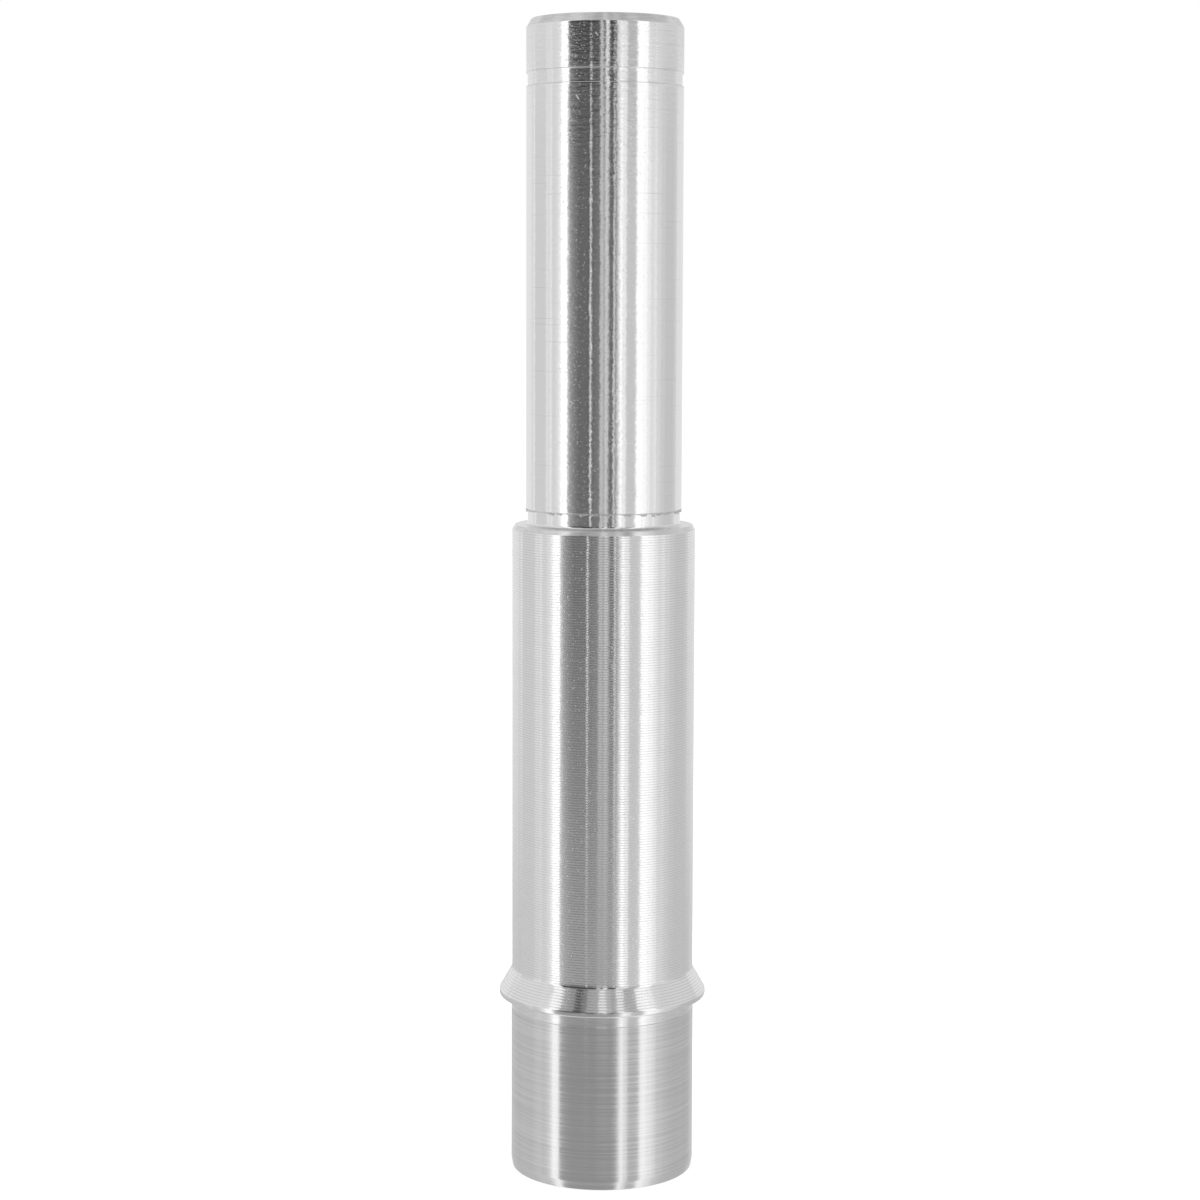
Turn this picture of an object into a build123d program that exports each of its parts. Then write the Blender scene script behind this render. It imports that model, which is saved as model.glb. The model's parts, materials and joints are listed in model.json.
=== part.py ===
from build123d import *
from math import cos, radians, sin, tan
import os

# A stepped shaft, turned from one bar between centres.
# Millimetres. The axis is +Z and the origin is the centre of the lower end face.

# Heights and lengths along the axis
overall_length = 126.0
spigot_length = 18.0
undercut_width = 1.4
collar_length = 3.0
shoulder_height = 71.6
neck_width = 1.7
ring_groove_height = 118.8
ring_groove_width = 1.5

# Diameters
spigot_diameter = 20.15
undercut_diameter = 19.95
collar_diameter = 22.8
large_journal_diameter = 20.0
neck_diameter = 16.65
small_journal_diameter = 17.0
ring_groove_diameter = 16.7

# Bevels: a length along the axis and an angle from it
spigot_lead_length = 0.9
spigot_lead_angle = 10.0
shoulder_bevel_length = 0.5
shoulder_bevel_angle = 30.0
top_bevel_length = 0.9
top_bevel_angle = 30.0

# Collar: a cone that rolls over into the rim, and a small radius under it
collar_cone_angle = 30.0
collar_edge_radius = 0.2

# Radii left by the tool in the two inner corners
cone_root_fillet = 0.8
neck_root_fillet = 0.4

# Centre holes, 60 degree form for a bar of this size
centre_mouth_diameter = 5.3
centre_pilot_diameter = 2.5
centre_cone_angle = 60.0
centre_depth = 5.5
drill_point_angle = 118.0


def bevel_drop(length, angle):
    """How far a bevel falls towards the axis over its length."""
    return length * tan(radians(angle))


def collar_brow_radius():
    """Radius of the arc that rolls the cone over to the widest point, tangent to both."""
    rise_to_journal = (collar_diameter - large_journal_diameter) / 2
    sharp_corner = collar_length - rise_to_journal / tan(radians(collar_cone_angle))
    return (sharp_corner - collar_edge_radius) / tan(radians(collar_cone_angle / 2))


def half_section():
    """The shaft's lengthwise half section in the XZ plane, closed along the axis."""
    spigot_radius = spigot_diameter / 2
    undercut_radius = undercut_diameter / 2
    rim_radius = collar_diameter / 2
    journal_radius = large_journal_diameter / 2
    neck_radius = neck_diameter / 2
    seat_radius = small_journal_diameter / 2
    groove_radius = ring_groove_diameter / 2

    lead_drop = bevel_drop(spigot_lead_length, spigot_lead_angle)
    shoulder_drop = bevel_drop(shoulder_bevel_length, shoulder_bevel_angle)
    top_drop = bevel_drop(top_bevel_length, top_bevel_angle)
    brow_radius = collar_brow_radius()
    brow_drop = brow_radius * (1 - cos(radians(collar_cone_angle)))
    brow_length = brow_radius * sin(radians(collar_cone_angle))

    underside = spigot_length + undercut_width
    widest = underside + collar_edge_radius
    neck_top = shoulder_height + neck_width
    groove_top = ring_groove_height + ring_groove_width
    cone_root = (journal_radius, underside + collar_length)
    neck_root = (neck_radius, shoulder_height)

    with BuildSketch(Plane.XZ) as section:
        with BuildLine():
            lower = Polyline(
                (0, 0),
                (spigot_radius - lead_drop, 0),
                (spigot_radius, spigot_lead_length),
                (spigot_radius, spigot_length),
                (undercut_radius, spigot_length),
                (undercut_radius, underside),
                (rim_radius - collar_edge_radius, underside),
            )
            edge = RadiusArc(lower @ 1, (rim_radius, widest), -collar_edge_radius)
            cone_end = (rim_radius - brow_drop, widest + brow_length)
            brow = RadiusArc(edge @ 1, cone_end, -brow_radius)
            upper = Polyline(
                brow @ 1,
                cone_root,
                (journal_radius, shoulder_height - shoulder_bevel_length),
                (journal_radius - shoulder_drop, shoulder_height),
                neck_root,
                (neck_radius, neck_top),
                (seat_radius, neck_top),
                (seat_radius, ring_groove_height),
                (groove_radius, ring_groove_height),
                (groove_radius, groove_top),
                (seat_radius, groove_top),
                (seat_radius, overall_length - top_bevel_length),
                (seat_radius - top_drop, overall_length),
                (0, overall_length),
            )
            Line(upper @ 1, lower @ 0)
        make_face()
        for corner, radius in ((cone_root, cone_root_fillet), (neck_root, neck_root_fillet)):
            fillet(section.vertices().sort_by_distance(corner)[0], radius)
    return section.sketch


def centre_hole():
    """The space of a centre hole that opens downwards at the origin."""
    mouth_radius = centre_mouth_diameter / 2
    pilot_radius = centre_pilot_diameter / 2
    cone_depth = (mouth_radius - pilot_radius) / tan(radians(centre_cone_angle / 2))
    point_depth = pilot_radius / tan(radians(drill_point_angle / 2))
    with BuildSketch(Plane.XZ) as section:
        with BuildLine():
            Polyline(
                (0, 0),
                (mouth_radius, 0),
                (pilot_radius, cone_depth),
                (pilot_radius, centre_depth),
                (0, centre_depth + point_depth),
                close=True,
            )
        make_face()
    return revolve(section.sketch, Axis.Z)


turned_bar = revolve(half_section(), Axis.Z)
lower_centre = centre_hole()
upper_centre = Pos(0, 0, overall_length) * Rot(180, 0, 0) * centre_hole()

shaft = turned_bar - lower_centre - upper_centre
shaft.label = "shaft"

os.makedirs("parts", exist_ok=True)
export_step(shaft, "parts/shaft.step")
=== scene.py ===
import bpy
import json
import math
from mathutils import Matrix, Vector


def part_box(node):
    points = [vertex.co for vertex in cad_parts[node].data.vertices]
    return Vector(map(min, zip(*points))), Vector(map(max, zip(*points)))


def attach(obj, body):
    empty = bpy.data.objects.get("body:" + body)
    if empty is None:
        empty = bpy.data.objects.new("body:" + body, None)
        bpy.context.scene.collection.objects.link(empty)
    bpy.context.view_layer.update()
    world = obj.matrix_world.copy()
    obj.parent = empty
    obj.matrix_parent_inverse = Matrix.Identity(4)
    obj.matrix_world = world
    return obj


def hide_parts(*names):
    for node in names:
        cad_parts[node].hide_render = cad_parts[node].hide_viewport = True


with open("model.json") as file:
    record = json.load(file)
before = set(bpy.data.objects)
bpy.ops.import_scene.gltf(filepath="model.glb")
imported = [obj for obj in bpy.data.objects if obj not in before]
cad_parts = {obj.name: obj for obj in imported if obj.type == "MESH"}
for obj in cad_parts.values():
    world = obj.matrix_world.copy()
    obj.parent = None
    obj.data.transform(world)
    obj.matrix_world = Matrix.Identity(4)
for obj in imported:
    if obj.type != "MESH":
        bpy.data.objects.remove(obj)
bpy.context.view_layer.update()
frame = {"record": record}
mm = 0.001
shaftLow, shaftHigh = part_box("shaft")
shaftLength = shaftHigh.z - shaftLow.z
mounts = {mount["name"]: mount for mount in frame["record"]["mounts"]}
seatRadius = mounts["small_journal"]["dims"]["r_mm"]
print("frame loaded, shaft", round(shaftLength / mm, 2), "mm long")


def fromHex(text):
    # sRGB hex to linear
    values = [int(text[i:i + 2], 16) / 255 for i in (1, 3, 5)]
    return tuple(v / 12.92 if v <= 0.04045 else ((v + 0.055) / 1.055) ** 2.4 for v in values) + (1.0,)


def addNode(tree, kind, inputs=None, **settings):
    # one node with its settings; an input given a socket is linked, any other is set
    node = tree.nodes.new(kind)
    for name, value in settings.items():
        setattr(node, name, value)
    for key, value in (inputs or {}).items():
        if isinstance(value, bpy.types.NodeSocket):
            tree.links.new(value, node.inputs[key])
        else:
            node.inputs[key].default_value = value
    return node


def calc(tree, operation, *values):
    return addNode(tree, "ShaderNodeMath", dict(enumerate(values)), operation=operation).outputs[0]


def newMaterial(name, colour, roughness, anisotropy):
    # bare aluminium; tool marks run round the shaft, so light is drawn out along its axis
    material = bpy.data.materials.new(name)
    material.use_nodes = True
    tree = material.node_tree
    tree.nodes.clear()
    tangent = addNode(tree, "ShaderNodeTangent", direction_type="RADIAL", axis="Z")
    shader = addNode(tree, "ShaderNodeBsdfPrincipled",
                     {"Base Color": fromHex(colour), "Metallic": 1.0, "Roughness": roughness,
                      "Anisotropic": anisotropy, "Anisotropic Rotation": 0.25,
                      "Tangent": tangent.outputs[0]})
    addNode(tree, "ShaderNodeOutputMaterial", {"Surface": shader.outputs["BSDF"]})
    return material, tree, shader


def placeOnShaft(tree):
    # object point, height, and the turn round the axis as a part of one
    point = addNode(tree, "ShaderNodeTexCoord").outputs["Object"]
    split = addNode(tree, "ShaderNodeSeparateXYZ", {0: point})
    angle = calc(tree, "ARCTAN2", split.outputs["Y"], split.outputs["X"])
    return point, split.outputs["Z"], calc(tree, "DIVIDE", angle, 2 * math.pi)


def furrows(tree, travel, turn, pitch):
    # furrows of a round-nosed tool, one pitch further each turn: 0 in a floor and 1 on the ridge between two
    advance = calc(tree, "ADD", travel, calc(tree, "MULTIPLY", turn, pitch * mm))
    across = calc(tree, "SUBTRACT", calc(tree, "FRACT", calc(tree, "DIVIDE", advance, pitch * mm)), 0.5)
    return calc(tree, "MULTIPLY", calc(tree, "MULTIPLY", across, across), 4.0)


def stretchedNoise(tree, point, size):
    # noise of a size round the shaft and along it in millimetres, and of a detail
    around, along, detail = size
    scale = (1 / (around * mm), 1 / (around * mm), 1 / (along * mm))
    scaled = addNode(tree, "ShaderNodeMapping", {"Vector": point, "Scale": scale})
    inputs = {"Vector": scaled.outputs[0], "Scale": 1.0, "Detail": detail}
    return addNode(tree, "ShaderNodeTexNoise", inputs).outputs[0]


def spread(tree, value, low, high, toLow, toHigh):
    inputs = {0: value, 1: low, 2: high, 3: toLow, 4: toHigh}
    return addNode(tree, "ShaderNodeMapRange", inputs, interpolation_type="SMOOTHSTEP").outputs[0]


def bumped(tree, shader, layers):
    # one bump on top of the other; each layer is a height from 0 to 1 and its size in millimetres
    normal = None
    for height, size in layers:
        inputs = {"Height": height, "Distance": size * mm}
        if normal:
            inputs["Normal"] = normal
        normal = addNode(tree, "ShaderNodeBump", inputs).outputs[0]
    tree.links.new(normal, shader.inputs["Normal"])


def coloured(tree, shader, share, colours):
    # base colour from the first hex to the second by the share
    mix = addNode(tree, "ShaderNodeMix", {"Factor": share}, data_type="RGBA")
    mix.inputs[6].default_value, mix.inputs[7].default_value = fromHex(colours[0]), fromHex(colours[1])
    tree.links.new(mix.outputs[2], shader.inputs["Base Color"])


def roughened(tree, shader, share, least, more):
    rough = calc(tree, "ADD", least, calc(tree, "MULTIPLY", share, more))
    tree.links.new(rough, shader.inputs["Roughness"])


def scratch(tree, height, turn, radius, place):
    # a short slanting scratch, 1 in its middle: bearing from the front in degrees, height, length and
    # width in millimetres, and lean in degrees
    bearing, up, length, width, lean = place
    fromFront = calc(tree, "SUBTRACT", turn, (bearing - 90) / 360)
    around = calc(tree, "MULTIPLY", fromFront, 2 * math.pi * radius)
    above = calc(tree, "SUBTRACT", calc(tree, "DIVIDE", height, mm), up)
    cosine, sine = math.cos(math.radians(lean)), math.sin(math.radians(lean))

    def share(first, second, operation, size):
        turned = calc(tree, operation, calc(tree, "MULTIPLY", first, cosine),
                      calc(tree, "MULTIPLY", second, sine))
        return calc(tree, "POWER", calc(tree, "DIVIDE", turned, size / 2), 2.0)

    far = calc(tree, "ADD", share(around, above, "ADD", length), share(above, around, "SUBTRACT", width))
    return calc(tree, "MAXIMUM", calc(tree, "SUBTRACT", 1.0, far), 0.0)


# lengths in millimetres; a noise is its size round the shaft and along it, and its detail

seatLook = {
    "colours": ("#F2F2F2", "#E4E4E4"),  # clean metal, and the faint level lines in it
    "anisotropy": 0.8, "roughness": 0.11, "lineRoughness": 0.16,
    "chatter": (0.55, 0.22, 3.0), "chatterHeight": 0.009,
    "wave": (1.6, 0.45, 2.0), "waveHeight": 0.016,
    "lines": (9.0, 0.12, 1.0), "lineHeight": 0.0006,
    "tears": (0.16, 0.13, 1.0), "tearHeight": 0.012,
    "scratchDepth": 0.03,
    "scratches": [(-20, 117.2, 0.75, 0.14, -58), (-6, 123.7, 0.55, 0.12, -48),
                  (38, 124.8, 0.3, 0.1, 75), (47, 92.6, 0.45, 0.08, 50)],
}


def seatFinish(look):
    # fine-turned: a mirror with a fine tear in it, which breaks thin reflections into dashes
    material, tree, shader = newMaterial("finelyTurnedAluminium", look["colours"][0], look["roughness"],
                                         look["anisotropy"])
    point, height, turn = placeOnShaft(tree)
    chatter = stretchedNoise(tree, point, look["chatter"])
    wave = stretchedNoise(tree, point, look["wave"])
    lines = spread(tree, stretchedNoise(tree, point, look["lines"]), 0.66, 0.80, 0.0, 0.7)
    tears = spread(tree, stretchedNoise(tree, point, look["tears"]), 0.66, 0.8, 0.0, 1.0)
    marks = 0.0
    for place in look["scratches"]:
        marks = calc(tree, "MAXIMUM", marks, scratch(tree, height, turn, seatRadius, place))
    bumped(tree, shader, [(chatter, look["chatterHeight"]), (wave, look["waveHeight"]),
                          (tears, look["tearHeight"]), (lines, look["lineHeight"]),
                          (marks, -look["scratchDepth"])])
    roughened(tree, shader, lines, look["roughness"], look["lineRoughness"])
    coloured(tree, shader, lines, look["colours"])
    return material


journalLook = {
    "colours": ("#F3F3F3", "#E0E0E0"),  # floor of a ring, and its ridge
    "anisotropy": 0.8, "roughness": 0.12, "ridgeRoughness": 0.25,
    "ringPitch": 0.28,  # the real feed is 0.21, drawn coarser so that each ring shows
    "ringDepth": 0.0032,
    "uneven": (8.0, 1.2, 2.0),
    "chatter": (0.9, 0.5, 3.0), "chatterHeight": 0.008,
    "tears": (0.2, 0.15, 1.0), "tearHeight": 0.012,
}


def journalFinish(look):
    # turned at a plain feed: bright furrow floors and dull ridges, so every zone is crossed by fine rings
    material, tree, shader = newMaterial("ringTurnedAluminium", look["colours"][0], look["roughness"],
                                         look["anisotropy"])
    point, height, turn = placeOnShaft(tree)
    rings = furrows(tree, height, turn, look["ringPitch"])
    strength = spread(tree, stretchedNoise(tree, point, look["uneven"]), 0.3, 0.6, 0.7, 1.0)
    ridges = calc(tree, "MULTIPLY", spread(tree, rings, 0.2, 0.9, 0.0, 1.0), strength)
    chatter = stretchedNoise(tree, point, look["chatter"])
    tears = spread(tree, stretchedNoise(tree, point, look["tears"]), 0.68, 0.8, 0.0, 1.0)
    bumped(tree, shader, [(rings, look["ringDepth"]), (chatter, look["chatterHeight"]),
                          (tears, look["tearHeight"])])
    roughened(tree, shader, ridges, look["roughness"], look["ridgeRoughness"])
    coloured(tree, shader, ridges, look["colours"])
    return material


spigotLook = {
    "colours": ("#D6D6D6", "#E2E2E2"), "anisotropy": 0.8,
    "roughness": (0.13, 0.24),  # between the hairs, and in them
    "hairs": (16.0, 0.13, 2.0), "hairHeight": 0.0012,
    "bands": (20.0, 0.9, 1.0), "bandShare": 0.12,
    "grit": (0.5, 0.16, 2.0), "gritHeight": 0.0022,
}


def spigotFinish(look):
    # brushed with grit round the axis: duller and greyer, drawn with hair-fine level lines
    material, tree, shader = newMaterial("brushedAluminium", look["colours"][0], look["roughness"][0],
                                         look["anisotropy"])
    point = placeOnShaft(tree)[0]
    hairs = stretchedNoise(tree, point, look["hairs"])
    bands = stretchedNoise(tree, point, look["bands"])
    grit = stretchedNoise(tree, point, look["grit"])
    bumped(tree, shader, [(hairs, look["hairHeight"]), (grit, look["gritHeight"])])
    tree.links.new(spread(tree, hairs, 0.3, 0.7, *look["roughness"]), shader.inputs["Roughness"])
    shade = calc(tree, "ADD", calc(tree, "MULTIPLY", hairs, 1 - look["bandShare"]),
                 calc(tree, "MULTIPLY", bands, look["bandShare"]))
    coloured(tree, shader, spread(tree, shade, 0.36, 0.64, 0.0, 1.0), look["colours"])
    return material


bevelLook = {
    "colours": ("#E0E0E0", "#ECECEC"), "anisotropy": 0.75, "roughness": 0.19,
    "grain": (1.2, 0.12, 2.0), "grainHeight": 0.0004,
    "nickRadius": 9.9, "nick": (-58, 71.35, 0.8, 0.28, -35), "nickDepth": 0.06,
}


def bevelFinish(look):
    # small turned faces: even and slightly dull, with one nick on the shoulder's bevel
    material, tree, shader = newMaterial("turnedBevelAluminium", look["colours"][0], look["roughness"],
                                         look["anisotropy"])
    point, height, turn = placeOnShaft(tree)
    grain = stretchedNoise(tree, point, look["grain"])
    nick = scratch(tree, height, turn, look["nickRadius"], look["nick"])
    bumped(tree, shader, [(grain, look["grainHeight"]), (nick, -look["nickDepth"])])
    coloured(tree, shader, spread(tree, grain, 0.3, 0.7, 0.0, 1.0), look["colours"])
    return material


facedLook = {
    "colours": ("#EEEEEE", "#D6D6D6"), "anisotropy": 0.6, "roughness": 0.24,
    "ringPitch": 0.3, "ringDepth": 0.004,
    "grain": (0.4, 0.4, 3.0), "grainHeight": 0.002,
}


def facedFinish(look):
    # faced across the end: rings round the axis, each with a bright floor and a duller ridge
    material, tree, shader = newMaterial("facedAluminium", look["colours"][0], look["roughness"],
                                         look["anisotropy"])
    point, height, turn = placeOnShaft(tree)
    flat = addNode(tree, "ShaderNodeVectorMath", {0: point, 1: (1, 1, 0)}, operation="MULTIPLY").outputs[0]
    radius = addNode(tree, "ShaderNodeVectorMath", {0: flat}, operation="LENGTH").outputs["Value"]
    rings = furrows(tree, radius, turn, look["ringPitch"])
    grain = stretchedNoise(tree, point, look["grain"])
    bumped(tree, shader, [(rings, look["ringDepth"]), (grain, look["grainHeight"])])
    coloured(tree, shader, rings, look["colours"])
    return material


finishes = {"seat": seatFinish(seatLook), "journal": journalFinish(journalLook),
            "spigot": spigotFinish(spigotLook), "bevel": bevelFinish(bevelLook),
            "faced": facedFinish(facedLook)}
print("materials made")


# outline of the turned shaft, in millimetres and degrees

shaftShape = {
    "segments": 288,
    "spigotLength": 18.0, "leadLength": 0.9, "leadAngle": 10.0,
    "undercutWidth": 1.4, "undercutDepth": 0.1,
    "collarDiameter": 22.8, "collarLength": 3.0, "coneAngle": 30.0,
    "browRadius": 0.3, "collarEdge": 0.2, "coneRoot": 0.8,
    "shoulderBevel": 0.5, "topBevel": 0.9, "bevelAngle": 30.0,
    "neckWidth": 1.7, "neckDepth": 0.175, "neckRoot": 0.4,
    "grooveDrop": 7.2, "grooveWidth": 1.5, "grooveDepth": 0.15,
    "centreMouth": 2.65, "centrePilot": 1.25, "centreDepth": 5.5, "centrePoint": 0.75,
    "centreHalfAngle": 30.0,
    "edgeBreak": 0.05,  # what a cloth takes off a sharp edge
    "leadBlend": 0.3, "stepEdge": 0.04, "stepRoot": 0.03, "grooveEdge": 0.06,
    "topBevelFoot": 0.15, "topBevelHead": 0.1,
    "longestHold": 0.12,  # from an arc to the point that holds the straight run beside it
}


def tangent(angle):
    return math.tan(math.radians(angle))


def shaftLevels(shape):
    # radii and heights that the record's mounts and the shape give
    shoulder = mounts["shoulder"]["pos_m"][2] / mm
    top = shaftLength / mm
    underside = shape["spigotLength"] + shape["undercutWidth"]
    grooveFoot = top - shape["grooveDrop"]
    return {
        "journal": mounts["large_journal"]["dims"]["r_mm"], "spigot": mounts["spigot"]["dims"]["r_mm"],
        "rim": shape["collarDiameter"] / 2, "neck": seatRadius - shape["neckDepth"],
        "groove": seatRadius - shape["grooveDepth"],
        "underside": underside, "coneRoot": underside + shape["collarLength"],
        "shoulder": shoulder, "neckTop": shoulder + shape["neckWidth"],
        "grooveFoot": grooveFoot, "grooveTop": grooveFoot + shape["grooveWidth"], "top": top,
    }


def shaftCorners(shape, at):
    # radius, height, corner radius, and the finish of the run that starts here
    edge, groove = shape["edgeBreak"], shape["grooveEdge"]
    mouth, pilot, depth = shape["centreMouth"], shape["centrePilot"], shape["centreDepth"]
    centreCone = (mouth - pilot) / tangent(shape["centreHalfAngle"])
    undercut = at["spigot"] - shape["undercutDepth"]
    coneCorner = at["coneRoot"] - (at["rim"] - at["journal"]) / tangent(shape["coneAngle"])
    leadFoot = at["spigot"] - shape["leadLength"] * tangent(shape["leadAngle"])
    shoulderHead = at["journal"] - shape["shoulderBevel"] * tangent(shape["bevelAngle"])
    topHead = seatRadius - shape["topBevel"] * tangent(shape["bevelAngle"])
    return [
        (0, depth + shape["centrePoint"], 0, "faced"),
        (pilot, depth, 0, "faced"),
        (pilot, centreCone, edge, "faced"),
        (mouth, 0, edge, "faced"),
        (leadFoot, 0, edge, "spigot"),
        (at["spigot"], shape["leadLength"], shape["leadBlend"], "spigot"),
        (at["spigot"], shape["spigotLength"], shape["stepEdge"], "bevel"),
        (undercut, shape["spigotLength"], shape["stepRoot"], "bevel"),
        (undercut, at["underside"], edge, "bevel"),
        (at["rim"], at["underside"], shape["collarEdge"], "bevel"),
        (at["rim"], coneCorner, shape["browRadius"], "journal"),
        (at["journal"], at["coneRoot"], shape["coneRoot"], "journal"),
        (at["journal"], at["shoulder"] - shape["shoulderBevel"], edge, "bevel"),
        (shoulderHead, at["shoulder"], edge, "faced"),
        (at["neck"], at["shoulder"], shape["neckRoot"], "seat"),
        (at["neck"], at["neckTop"], groove, "seat"),
        (seatRadius, at["neckTop"], groove, "seat"),
        (seatRadius, at["grooveFoot"], groove, "seat"),
        (at["groove"], at["grooveFoot"], groove, "seat"),
        (at["groove"], at["grooveTop"], groove, "seat"),
        (seatRadius, at["grooveTop"], groove, "seat"),
        (seatRadius, at["top"] - shape["topBevel"], shape["topBevelFoot"], "bevel"),
        (topHead, at["top"], shape["topBevelHead"], "faced"),
        (mouth, at["top"], edge, "faced"),
        (pilot, at["top"] - centreCone, edge, "faced"),
        (pilot, at["top"] - depth, 0, "faced"),
        (0, at["top"] - depth - shape["centrePoint"], 0, "faced"),
    ]


def cornerArc(before, here, after, bend):
    # points of the arc that rounds a corner, tangent to both of its runs
    towardBefore, towardAfter = (before - here).normalized(), (after - here).normalized()
    half = towardBefore.angle(towardAfter) / 2
    reach = bend / math.tan(half)
    centre = here + (towardBefore + towardAfter).normalized() * (bend / math.sin(half))
    first, last = here + towardBefore * reach - centre, here + towardAfter * reach - centre
    turn = first.angle_signed(last)
    steps = max(3, round(abs(turn) * (3 + 4 * bend ** 0.5)))  # more on a wider and longer arc
    return [centre + Matrix.Rotation(-turn * k / steps, 2) @ first for k in range(steps + 1)]


def roundedOutline(shape, corners):
    # every corner as an arc, and every run held straight by a point near each of its ends
    places = [Vector(corner[:2]) for corner in corners]
    arcs = [[places[0]]]
    for i in range(1, len(corners) - 1):
        bend = corners[i][2]
        arcs.append(cornerArc(*places[i - 1:i + 2], bend) if bend else [places[i]])
    arcs.append([places[-1]])
    stations = []
    for i, arc in enumerate(arcs):
        finish, finishBefore = corners[i][3], corners[max(i - 1, 0)][3]
        stations += [(point, finishBefore if k < len(arc) // 2 else finish) for k, point in enumerate(arc)]
        if i + 1 < len(arcs):
            run = arcs[i + 1][0] - arc[-1]
            hold = min(shape["longestHold"], run.length / 3)
            for share in (hold / run.length, 1 - hold / run.length):
                stations.append((arc[-1] + run * share, finish))
    return stations


def profileObject(stations):
    mesh = bpy.data.meshes.new("shaftProfile")
    points = [(point.x * mm, 0, point.y * mm) for point, finish in stations]
    mesh.from_pydata(points, [(i, i + 1) for i in range(len(points) - 1)], [])
    kinds = mesh.attributes.new("finish", "INT", "POINT")
    for i, (point, finish) in enumerate(stations):
        kinds.data[i].value = list(finishes).index(finish)
    profile = bpy.data.objects.new("shaftProfile", mesh)
    bpy.context.scene.collection.objects.link(profile)
    return profile


def newTree(name, sizes):
    # geometry tree with a named input for each size; returns it with its input node
    tree = bpy.data.node_groups.new(name, "GeometryNodeTree")
    tree.interface.new_socket("Geometry", in_out="INPUT", socket_type="NodeSocketGeometry")
    for label, kind in sizes.items():
        tree.interface.new_socket(label, in_out="INPUT", socket_type=kind)
    tree.interface.new_socket("Geometry", in_out="OUTPUT", socket_type="NodeSocketGeometry")
    return tree, addNode(tree, "NodeGroupInput").outputs


def latheTree():
    # turns the profile's points round the axis; each face takes the finish of its run
    sizes = {"Segments": "NodeSocketInt"}
    sizes.update({finish: "NodeSocketMaterial" for finish in finishes})
    tree, given = newTree("latheTurning", sizes)
    profile = given["Geometry"]
    count = addNode(tree, "GeometryNodeAttributeDomainSize", {0: profile}).outputs["Point Count"]
    columns = calc(tree, "ADD", given["Segments"], 1)
    grid = addNode(tree, "GeometryNodeMeshGrid",
                   {"Size X": 1.0, "Size Y": 1.0, "Vertices X": count, "Vertices Y": columns})
    position = addNode(tree, "GeometryNodeInputPosition").outputs[0]
    place = addNode(tree, "ShaderNodeSeparateXYZ", {0: position})
    last = calc(tree, "SUBTRACT", count, 1)
    along = calc(tree, "MULTIPLY", calc(tree, "ADD", place.outputs["X"], 0.5), last)
    turn = calc(tree, "MULTIPLY", calc(tree, "ADD", place.outputs["Y"], 0.5), 2 * math.pi)
    keep = addNode(tree, "GeometryNodeCaptureAttribute", domain="POINT")
    keep.capture_items.new("FLOAT", "Station")
    tree.links.new(grid.outputs["Mesh"], keep.inputs["Geometry"])
    tree.links.new(along, keep.inputs["Station"])
    where = addNode(tree, "GeometryNodeSampleIndex",
                    {"Geometry": profile, "Value": position,
                     "Index": calc(tree, "ROUND", along)}, data_type="FLOAT_VECTOR", domain="POINT")
    spot = addNode(tree, "ShaderNodeSeparateXYZ", {0: where.outputs["Value"]})
    turned = addNode(tree, "ShaderNodeCombineXYZ",
                     {"X": calc(tree, "MULTIPLY", spot.outputs["X"], calc(tree, "COSINE", turn)),
                      "Y": calc(tree, "MULTIPLY", spot.outputs["X"], calc(tree, "SINE", turn)),
                      "Z": spot.outputs["Z"]})
    body = addNode(tree, "GeometryNodeSetPosition",
                   {"Geometry": keep.outputs["Geometry"], "Position": turned.outputs[0]})
    body = addNode(tree, "GeometryNodeMergeByDistance",
                   {"Geometry": body.outputs[0], "Distance": 0.001 * mm})
    body = addNode(tree, "GeometryNodeSetShadeSmooth", {"Geometry": body.outputs[0]})
    body = addNode(tree, "GeometryNodeRealizeInstances", {"Geometry": body.outputs[0]})
    kind = addNode(tree, "GeometryNodeInputNamedAttribute", {"Name": "finish"}, data_type="INT")
    ofFace = addNode(tree, "GeometryNodeSampleIndex",
                     {"Geometry": profile, "Value": kind.outputs["Attribute"],
                      "Index": calc(tree, "FLOOR", keep.outputs["Station"])}, data_type="INT", domain="POINT")
    for i, finish in enumerate(finishes):
        match = addNode(tree, "FunctionNodeCompare", {2: ofFace.outputs["Value"], 3: i},
                        data_type="INT", operation="EQUAL")
        body = addNode(tree, "GeometryNodeSetMaterial",
                       {"Geometry": body.outputs[0], "Selection": match.outputs[0], "Material": given[finish]})
    addNode(tree, "NodeGroupOutput", {"Geometry": body.outputs[0]})
    return tree


def grown(name, source, tree, values):
    # runs a geometry tree on the source and returns the result as a plain mesh object
    modifier = source.modifiers.new(name, "NODES")
    modifier.node_group = tree
    sockets = {item.name: item.identifier for item in tree.interface.items_tree if item.in_out == "INPUT"}
    for label, value in values.items():
        modifier[sockets[label]] = value
    bpy.context.view_layer.update()
    graph = bpy.context.evaluated_depsgraph_get()
    made = source.evaluated_get(graph)
    mesh = bpy.data.meshes.new_from_object(made, preserve_all_data_layers=True, depsgraph=graph)
    mesh.name = name
    piece = bpy.data.objects.new(name, mesh)
    bpy.context.scene.collection.objects.link(piece)
    source.modifiers.remove(modifier)
    bpy.data.objects.remove(source)
    return piece


levels = shaftLevels(shaftShape)
outline = roundedOutline(shaftShape, shaftCorners(shaftShape, levels))
turnedShaft = grown("turnedShaft", profileObject(outline), latheTree(),
                    {"Segments": shaftShape["segments"], **finishes})
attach(turnedShaft, "root")
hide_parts("shaft")
print("shaft turned:", len(outline), "stations,", len(turnedShaft.data.polygons), "faces")


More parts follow.
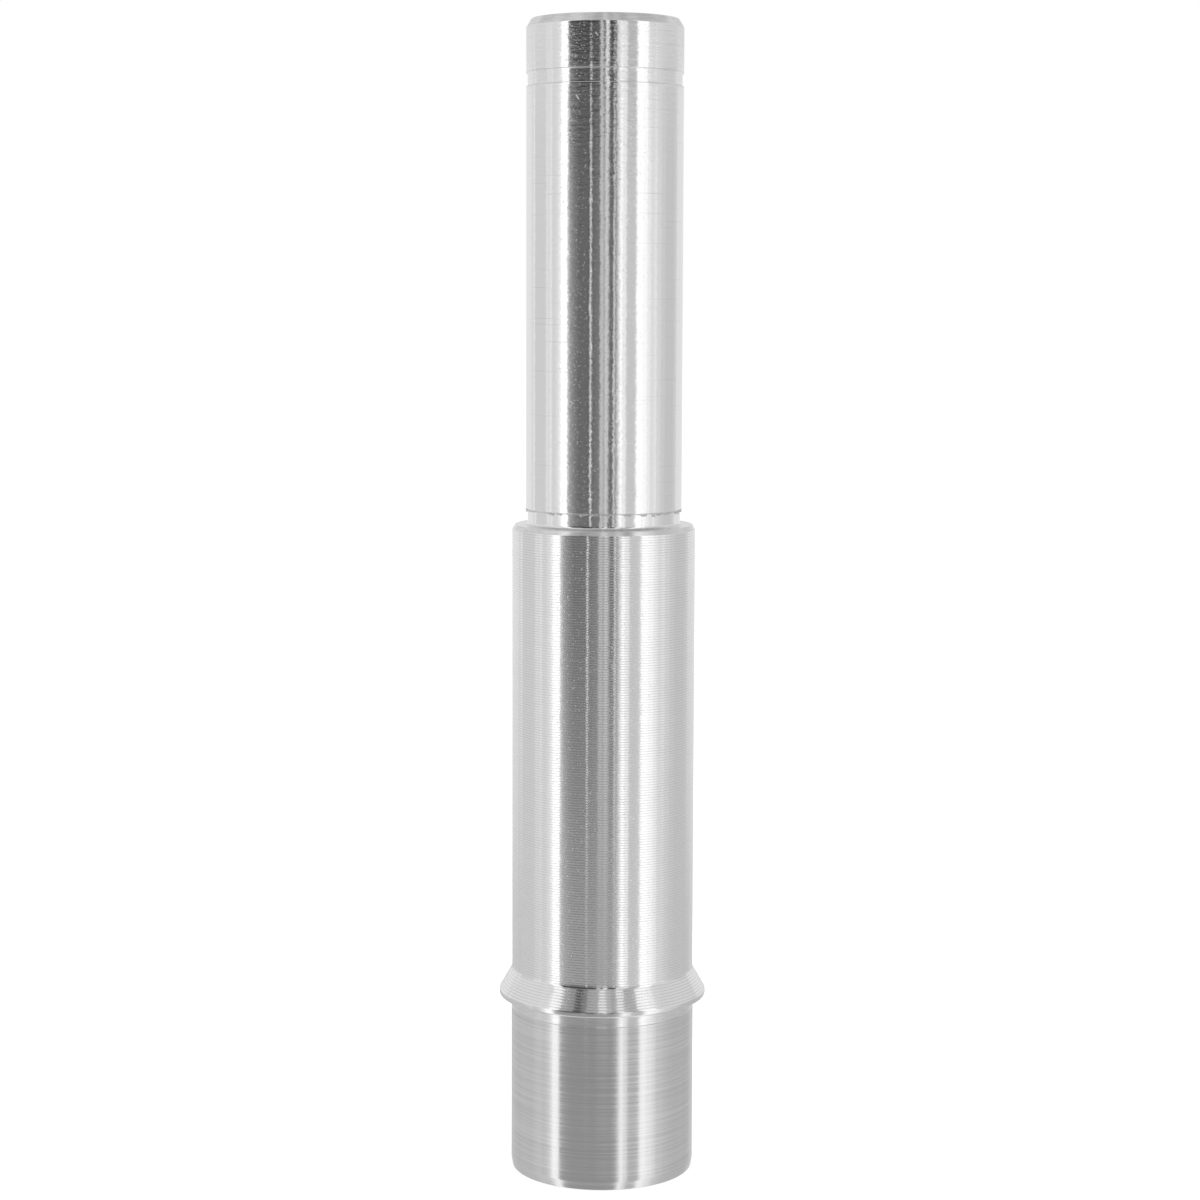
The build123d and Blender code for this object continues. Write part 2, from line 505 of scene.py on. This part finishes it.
# each burr: level of its edge, thickness and hang in mm, how finely it is torn, and its seed
burrShape = {
    "inset": 0.01, "points": 1440, "sides": 6,
    "burrs": {
        "neckBurr": ("neckTop", 0.15, 2.25, 1300.0, 3.0),
        "grooveTopBurr": ("grooveTop", 0.09, 0.25, 500.0, 8.0),
        "grooveFootBurr": ("grooveFoot", 0.09, 0.4, 700.0, 5.0),
    },
}


def burrTree():
    # thin torn lip that the tool leaves hanging on an edge
    kinds = {"Points": "Int", "Sides": "Int", "Radius": "Float", "Height": "Float", "Thickness": "Float",
             "Hang": "Float", "Tearing": "Float", "Seed": "Float", "Finish": "Material"}
    tree, given = newTree("burrRing", {label: "NodeSocket" + kind for label, kind in kinds.items()})
    ring = addNode(tree, "GeometryNodeCurvePrimitiveCircle",
                   {"Resolution": given["Points"], "Radius": given["Radius"]})
    place = addNode(tree, "GeometryNodeInputPosition").outputs[0]
    noise = addNode(tree, "ShaderNodeTexNoise",
                    {"Vector": place, "W": given["Seed"], "Scale": given["Tearing"], "Detail": 3.0,
                     "Roughness": 0.6}, noise_dimensions="4D").outputs[0]
    torn = calc(tree, "MAXIMUM", calc(tree, "SUBTRACT", noise, 0.5), 0.0)
    level = calc(tree, "SUBTRACT", given["Height"], calc(tree, "MULTIPLY", torn, given["Hang"]))
    lift = addNode(tree, "ShaderNodeCombineXYZ", {"Z": level})
    hung = addNode(tree, "GeometryNodeSetPosition", {"Geometry": ring.outputs[0], "Offset": lift.outputs[0]})
    uneven = calc(tree, "ADD", 0.35, calc(tree, "MULTIPLY", noise, 0.9))  # about a third to all of it
    section = addNode(tree, "GeometryNodeCurvePrimitiveCircle",
                      {"Resolution": given["Sides"], "Radius": 0.5})
    body = addNode(tree, "GeometryNodeCurveToMesh",
                   {"Curve": hung.outputs[0], "Profile Curve": section.outputs[0],
                    "Scale": calc(tree, "MULTIPLY", given["Thickness"], uneven)})
    body = addNode(tree, "GeometryNodeSetShadeSmooth", {"Geometry": body.outputs[0]})
    body = addNode(tree, "GeometryNodeRealizeInstances", {"Geometry": body.outputs[0]})
    body = addNode(tree, "GeometryNodeSetMaterial",
                   {"Geometry": body.outputs[0], "Material": given["Finish"]})
    addNode(tree, "NodeGroupOutput", {"Geometry": body.outputs[0]})
    return tree


burrGrowth = burrTree()
for name, (edge, thickness, hang, tearing, seed) in burrShape["burrs"].items():
    empty = bpy.data.objects.new(name + "Seed", bpy.data.meshes.new(name + "Seed"))
    bpy.context.scene.collection.objects.link(empty)
    burr = grown(name, empty, burrGrowth, {
        "Points": burrShape["points"], "Sides": burrShape["sides"],
        "Radius": (seatRadius - burrShape["inset"]) * mm, "Height": levels[edge] * mm,
        "Thickness": thickness * mm, "Hang": hang * mm, "Tearing": tearing, "Seed": seed,
        "Finish": finishes["bevel"]})
    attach(burr, "root")
print("burrs torn")


studio = {
    "tentRadius": 0.7, "tentMiddle": shaftLength * 0.55, "widestFacet": 6,  # metres and degrees
    "roomLight": 1.15,  # diffuse light of the white room
    "lampPlace": (0, -0.1, 0.9), "lampSize": 0.9, "lampPower": 6.0,
    "floorSize": 12.0, "floorPaint": "#FAFAFA", "floorGlow": 0.6,
}

# light tent of cloth panels and black flags, seen only in the metal. Each panel: bearing from the camera in
# degrees, from and to, and its glow at eye level and near the floor
eyePanels = [
    (-180, -134, 0.83, 0.62), (-134, -127, 0.75, 0.60), (-127, -123, 0.88, 0.62), (-123, -95, 0.67, 0.64),
    (-95, -89, 0.81, 0.70), (-89, -86.5, 0.75, 0.70), (-86.5, -83, 0.89, 0.74), (-83, -75, 0.72, 0.69),
    (-75, -70, 0.80, 0.76), (-70, -66, 0.96, 0.92), (-66, -55.5, 1.30, 1.30), (-55.5, -52, 0.56, 0.50),
    (-52, -48, 0.34, 0.44), (-48, -44, 0.26, 0.42), (-44, -39, 0.195, 0.405), (-39, -24, 0.15, 0.40),
    (-24, -21, 0.11, 0.38), (-21, -19, 0.98, 0.40), (-19, -14, 0.15, 0.395), (-14, -6.5, 0.19, 0.39),
    (-6.5, -1.2, 0.58, 0.39), (-1.2, 0.6, 0.36, 0.39), (0.6, 5, 0.66, 0.40), (5, 7, 0.42, 0.40),
    (7, 13, 0.145, 0.41), (13, 14.8, 0.90, 0.42), (14.8, 17.5, 0.26, 0.46), (17.5, 20, 0.55, 0.66),
    (20, 22.5, 0.86, 1.0), (22.5, 26, 1.15, 1.30), (26, 32, 0.93, 0.98), (32, 46, 0.62, 0.60),
    (46, 48, 0.86, 0.86), (48, 57, 1.20, 1.25), (57, 65, 1.08, 1.08), (65, 71, 0.93, 0.94),
    (71, 78, 0.80, 0.74), (78, 82.5, 0.88, 0.72), (82.5, 91, 0.74, 0.65), (91, 100, 0.655, 0.61),
    (100, 123, 0.60, 0.59), (123, 131, 0.66, 0.57), (131, 145, 0.80, 0.58), (145, 180, 0.81, 0.66),
]
# band just above eye level, dark round the lens
lensPanels = [
    (-180, -66, 0.75, 0.75), (-66, -54, 1.2, 1.2), (-54, -7, 0.05, 0.05), (-7, -3, 0.6, 0.6),
    (-3, 1, 0.05, 0.05), (1, 6, 0.9, 0.9), (6, 17, 0.05, 0.05), (17, 33, 0.8, 0.8),
    (33, 48, 0.45, 0.45), (48, 66, 1.15, 1.15), (66, 180, 0.7, 0.7),
]
# upper half, which the collar's cone shows
upperPanels = [
    (-180, -134, 0.80, 0.80), (-134, -105, 0.65, 0.65), (-105, -90, 0.74, 0.74), (-90, -78, 0.80, 0.80),
    (-78, -70, 0.73, 0.73), (-70, -54, 1.0, 1.0), (-54, -45, 0.42, 0.42), (-45, -37, 0.33, 0.33),
    (-37, -27, 0.10, 0.10), (-27, -21, 0.22, 0.22), (-21, -5, 0.42, 0.42), (-5, 5, 0.82, 0.82),
    (5, 12, 0.50, 0.50), (12, 19, 0.38, 0.38), (19, 29, 0.86, 0.86), (29, 46, 0.41, 0.41),
    (46, 62, 1.05, 1.05), (62, 72, 0.88, 0.88), (72, 84, 0.74, 0.74), (84, 128, 0.60, 0.60),
    (128, 180, 0.79, 0.79),
]
# roof, which the bevels and the ends show
roofPanels = [
    (-180, -125, 0.80, 0.80), (-125, -75, 0.62, 0.62), (-75, -52, 0.78, 0.78), (-52, -28, 0.62, 0.62),
    (-28, -5, 0.50, 0.50), (-5, 5, 0.72, 0.72), (5, 19, 0.52, 0.52), (19, 33, 0.62, 0.62),
    (33, 48, 0.48, 0.48), (48, 70, 0.62, 0.62), (70, 125, 0.50, 0.50), (125, 180, 0.72, 0.72),
]
# elevation of each row of the tent in degrees, and the share of the glow near the floor in it
tentBelts = {
    "tentEyeBelt": (eyePanels, [(-60, 1), (-16, 1), (-13.5, 0.45), (-9.5, 0.25), (-5.5, 0), (9, 0)]),
    "tentLensBelt": (lensPanels, [(9, 0), (31, 0)]),
    "tentUpperBelt": (upperPanels, [(31, 0), (42, 0), (51, 0)]),
    "tentRoof": (roofPanels, [(51, 0), (60, 0), (75, 0), (90, 0)]),
}


def glowMaterial(name):
    # glow of the tent's cloth, kept in the mesh
    material = bpy.data.materials.new(name)
    material.use_nodes = True
    tree = material.node_tree
    tree.nodes.clear()
    glow = addNode(tree, "ShaderNodeAttribute", attribute_name="glow")
    light = addNode(tree, "ShaderNodeEmission", {"Strength": glow.outputs["Fac"]})
    addNode(tree, "ShaderNodeOutputMaterial", {"Surface": light.outputs[0]})
    return material


def tentBelt(name, panels, rows, material):
    # one ring of the tent, a part of a sphere, with the glow of each panel at its points
    radius, middle = studio["tentRadius"], studio["tentMiddle"]
    points, faces, glows = [], [], []
    for start, end, glow, lowGlow in panels:
        steps = max(1, round((end - start) / studio["widestFacet"]))
        for k in range(steps):
            for lower, upper in zip(rows, rows[1:]):
                first = len(points)
                for step, (elevation, share) in ((k, lower), (k + 1, lower), (k + 1, upper), (k, upper)):
                    bearing = math.radians(start + (end - start) * step / steps)
                    level = radius * math.cos(math.radians(elevation))
                    points.append((level * math.sin(bearing), -level * math.cos(bearing),
                                   middle + radius * math.sin(math.radians(elevation))))
                    glows.append(glow + (lowGlow - glow) * share)
                faces.append((first, first + 1, first + 2, first + 3))
    mesh = bpy.data.meshes.new(name)
    mesh.from_pydata(points, [], faces)
    mesh.attributes.new("glow", "FLOAT", "POINT").data.foreach_set("value", glows)
    mesh.materials.append(material)
    belt = bpy.data.objects.new(name, mesh)
    bpy.context.scene.collection.objects.link(belt)
    belt.visible_camera = belt.visible_diffuse = belt.visible_shadow = False


def whiteForCameraAndGloss(tree):
    # 1 for the rays that see the background itself, straight or in metal and glass
    path = addNode(tree, "ShaderNodeLightPath").outputs
    seen = calc(tree, "MAXIMUM", path["Is Camera Ray"], path["Is Glossy Ray"])
    return calc(tree, "MAXIMUM", seen, path["Is Transmission Ray"])


def studioWorld():
    world = bpy.data.worlds.new("studio")
    bpy.context.scene.world = world
    world.use_nodes = True
    tree = world.node_tree
    tree.nodes.clear()
    room = addNode(tree, "ShaderNodeBackground", {"Color": (1, 1, 1, 1), "Strength": studio["roomLight"]})
    white = addNode(tree, "ShaderNodeBackground", {"Color": (1, 1, 1, 1), "Strength": 1.0})
    both = addNode(tree, "ShaderNodeMixShader",
                   {0: whiteForCameraAndGloss(tree), 1: room.outputs[0], 2: white.outputs[0]})
    addNode(tree, "ShaderNodeOutputWorld", {"Surface": both.outputs[0]})


def studioFloor():
    half = studio["floorSize"] / 2
    mesh = bpy.data.meshes.new("floor")
    corners = [(-half, -half, 0), (half, -half, 0), (half, half, 0), (-half, half, 0)]
    mesh.from_pydata(corners, [], [(0, 1, 2, 3)])
    material = bpy.data.materials.new("paleFloor")
    material.use_nodes = True
    tree = material.node_tree
    tree.nodes.clear()
    paint = addNode(tree, "ShaderNodeBsdfDiffuse", {"Color": fromHex(studio["floorPaint"])})
    lit = addNode(tree, "ShaderNodeEmission", {"Color": (1, 1, 1, 1), "Strength": 1.0})
    part = calc(tree, "MULTIPLY", whiteForCameraAndGloss(tree), studio["floorGlow"])
    both = addNode(tree, "ShaderNodeMixShader", {0: part, 1: paint.outputs[0], 2: lit.outputs[0]})
    addNode(tree, "ShaderNodeOutputMaterial", {"Surface": both.outputs[0]})
    mesh.materials.append(material)
    floor = bpy.data.objects.new("floor", mesh)
    bpy.context.scene.collection.objects.link(floor)
    floor.visible_glossy = False  # the tent hangs below it, so its panels run the shaft's whole height


def overheadLamp():
    lamp = bpy.data.lights.new("overheadSoftbox", "AREA")
    lamp.shape = "SQUARE"
    lamp.size = studio["lampSize"]
    lamp.energy = studio["lampPower"]
    holder = bpy.data.objects.new("overheadSoftbox", lamp)
    bpy.context.scene.collection.objects.link(holder)
    holder.location = studio["lampPlace"]
    holder.visible_glossy = False
    holder.visible_camera = False


tentGlow = glowMaterial("tentCloth")
for name, (panels, rows) in tentBelts.items():
    tentBelt(name, panels, rows, tentGlow)
studioWorld()
studioFloor()
overheadLamp()
print("studio lit")


cameraPlace = {
    "distance": 294.3, "eyeHeight": 97.1,  # millimetres from the axis and above the floor
    "lens": 81.0, "shiftUp": -0.04,
    "tilt": 5.55, "aside": 0.077, "roll": 0.18,  # degrees
    "clipNear": 0.01, "clipFar": 50,  # metres
}


def placeCamera(place):
    camera = bpy.data.cameras.new("camera")
    camera.lens, camera.shift_y = place["lens"], place["shiftUp"]
    camera.clip_start, camera.clip_end = place["clipNear"], place["clipFar"]
    holder = bpy.data.objects.new("camera", camera)
    bpy.context.scene.collection.objects.link(holder)
    aside = Matrix.Rotation(math.radians(place["aside"]), 4, "Z")
    tilt = Matrix.Rotation(math.radians(90 - place["tilt"]), 4, "X")
    roll = Matrix.Rotation(math.radians(place["roll"]), 4, "Z")
    stand = Matrix.Translation((0, -place["distance"] * mm, place["eyeHeight"] * mm))
    holder.matrix_world = stand @ aside @ tilt @ roll
    bpy.context.scene.camera = holder


placeCamera(cameraPlace)
bpy.context.scene.view_settings.view_transform = "Standard"
print("camera placed")
